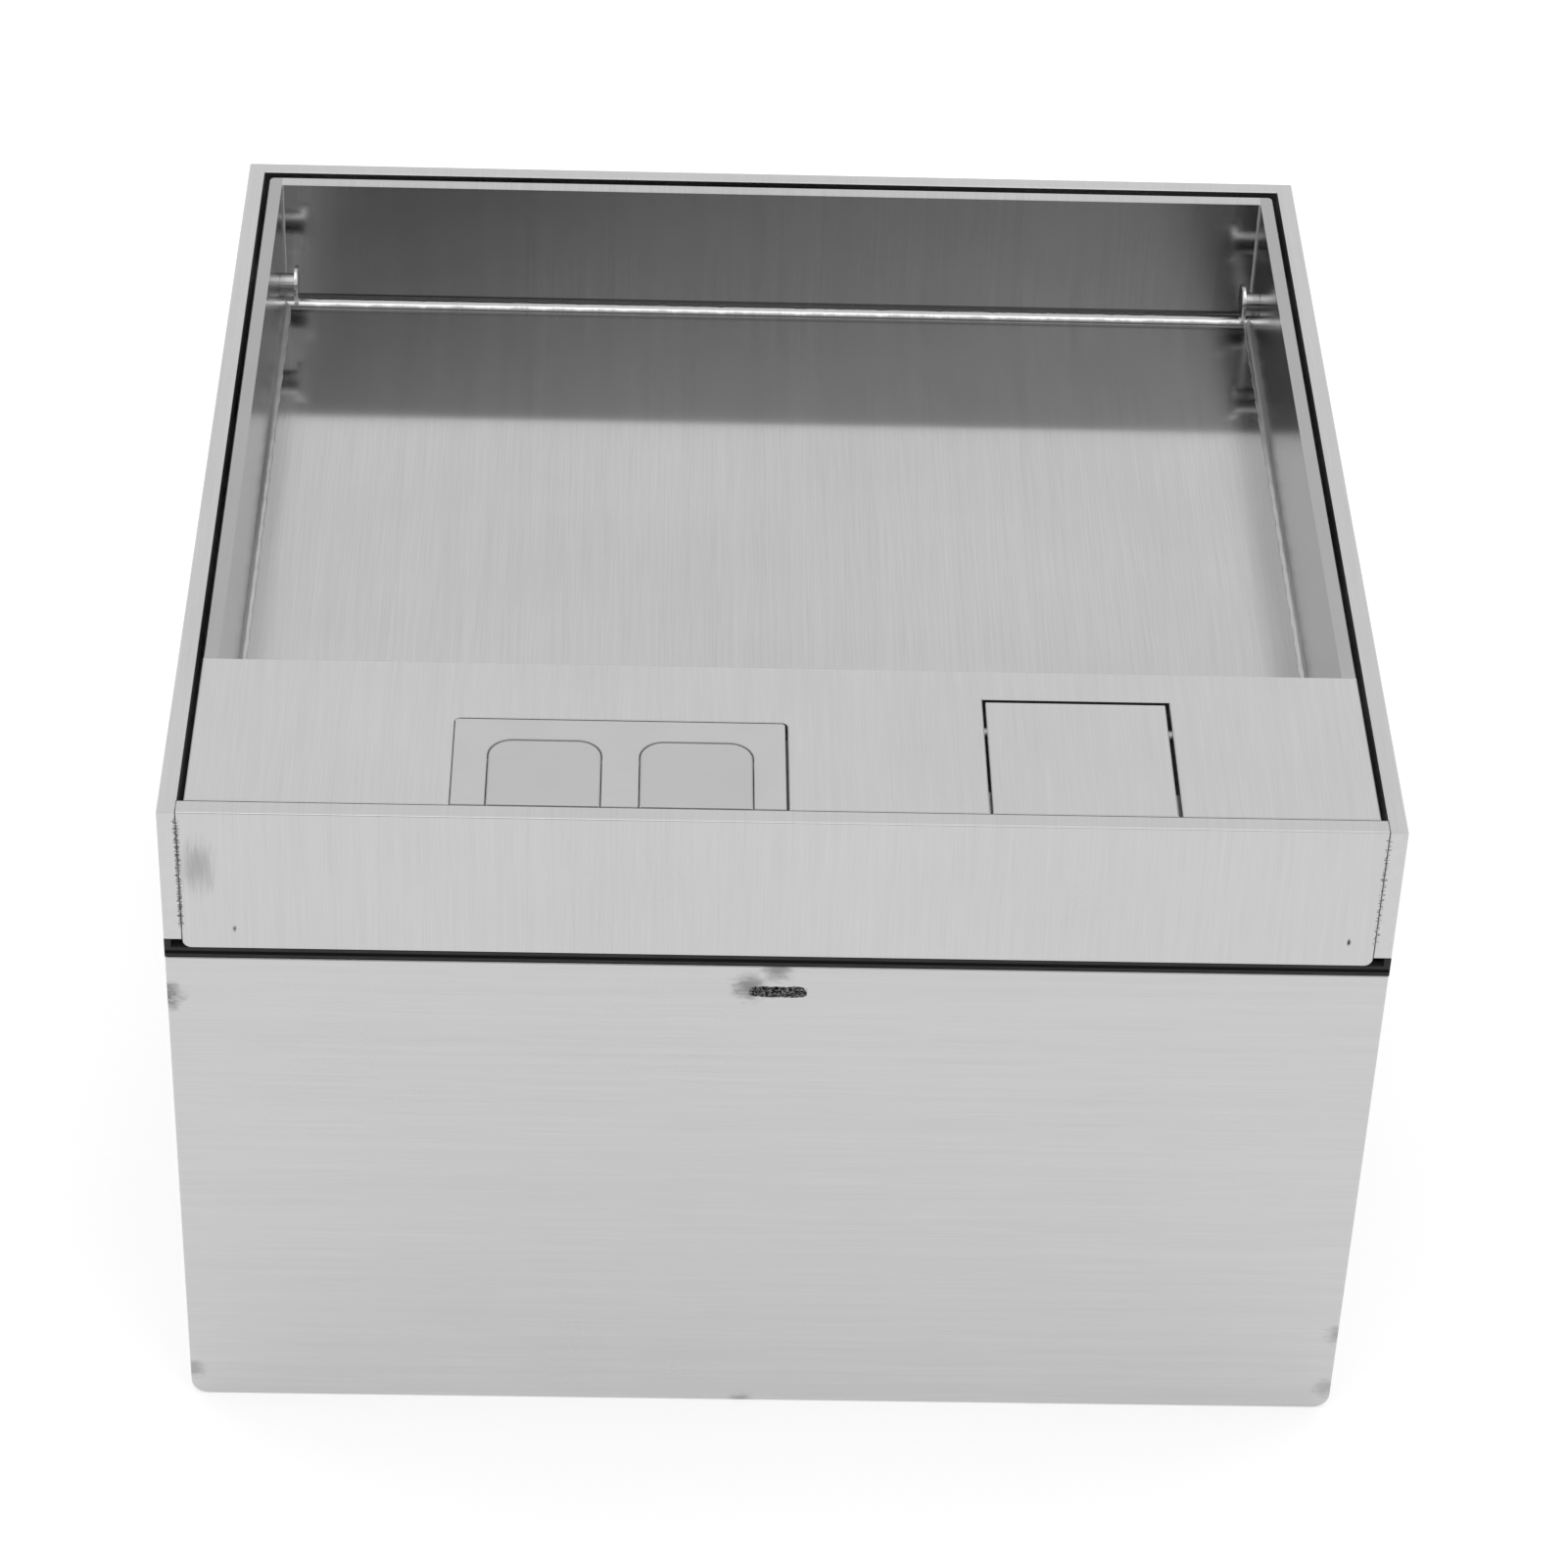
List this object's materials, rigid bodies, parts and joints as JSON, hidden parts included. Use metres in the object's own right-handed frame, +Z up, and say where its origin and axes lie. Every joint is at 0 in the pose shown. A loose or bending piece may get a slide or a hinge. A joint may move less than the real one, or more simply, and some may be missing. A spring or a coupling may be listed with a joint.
{
  "type": "floor socket box",
  "caption": "Square steel floor box with a hinged tile-recess lid, flip-up cable outlets, a tilting lift tab, and socket and data modules on an inner carrier.",
  "frame": {"origin": "centre of the flat bottom face of the box", "axes": "+Z up, +Y towards the lid's hinge, +X to the right seen from the cable outlet side"},
  "size_m": [0.2, 0.2, 0.13],
  "materials": {
    "steel_box": "ground stainless sheet, grain across the front",
    "steel_frame": "ground stainless bar, upright grain",
    "steel_lid": "smooth rolled stainless sheet, half bright",
    "steel_strip": "ground stainless plate, grain from front to back",
    "steel_carrier": "zinc plated sheet",
    "zinc": "bright zinc",
    "contact_metal": "nickel plated spring strip",
    "brass": "turned brass",
    "rubber": "black rubber",
    "grey_plastic": "fine matt moulding",
    "white_plastic": "satin moulding",
    "dark_plastic": "satin moulding",
    "nylon": "natural nylon"
  },
  "bodies": {
    "box": {"box_body": "steel_box", "box_front_panel": "steel_box", "box_back_panel": "steel_box", "front_stiffener": "steel_box", "back_stiffener": "steel_box", "blanking_plugs": "grey_plastic", "frame_left_bar": "steel_frame", "frame_right_bar": "steel_frame", "frame_back_bar": "steel_frame", "frame_front_plate": "steel_frame", "frame_gasket": "rubber", "frame_straps": "steel_box", "strap_screws": "zinc", "lid_rest_left": "steel_box", "lid_rest_right": "steel_box", "rest_pad_left": "rubber", "rest_pad_right": "rubber", "front_ledge_left": "steel_frame", "front_ledge_right": "steel_frame", "socket_carrier": "steel_carrier", "carrier_studs": "zinc", "carrier_nuts": "zinc", "power_socket_left": "white_plastic", "power_socket_middle": "white_plastic", "socket_earth_clips": "contact_metal", "data_module": "white_plastic", "data_jack_left": "dark_plastic", "data_jack_right": "dark_plastic", "earth_stud": "brass", "earth_washer": "brass", "earth_nut": "brass"},
    "hinge_pins": {"hinge_pin_left": "zinc", "hinge_pin_right": "zinc", "hinge_washers": "nylon"},
    "lid": {"lid_pan": "steel_lid", "lid_side_left": "steel_lid", "lid_side_right": "steel_lid", "lid_strip": "steel_strip", "cable_outlet_insert": "grey_plastic", "lift_tab_pin": "zinc"},
    "lift_tab": {"lift_tab": "steel_strip"},
    "cable_flap_left": {"cable_flap_left": "grey_plastic"},
    "cable_flap_right": {"cable_flap_right": "grey_plastic"}
  },
  "joints": [
    {"name": "pin_slide", "type": "slide", "parent": "box", "child": "hinge_pins", "axis": [0, -1, 0], "range_m": [0, 0.0134]},
    {"name": "lid_hinge", "type": "hinge", "parent": "hinge_pins", "child": "lid", "pos_m": [0, 0.0812, 0.1146], "axis": [-1, 0, 0], "range_deg": [0, 95]},
    {"name": "lift_tab_tilt", "type": "hinge", "parent": "lid", "child": "lift_tab", "pos_m": [0.0485, -0.0739, 0.1285], "axis": [-1, 0, 0], "range_deg": [0, 42]},
    {"name": "cable_flap_left_hinge", "type": "hinge", "parent": "lid", "child": "cable_flap_left", "pos_m": [-0.0387, -0.084, 0.1285], "axis": [-1, 0, 0], "range_deg": [0, 90]},
    {"name": "cable_flap_right_hinge", "type": "hinge", "parent": "lid", "child": "cable_flap_right", "pos_m": [-0.0141, -0.084, 0.1285], "axis": [-1, 0, 0], "range_deg": [0, 90]}
  ],
  "couplings": [
    {"joint": "pin_slide", "follows": "lid_hinge", "m_per_rad": 0.008}
  ]
}
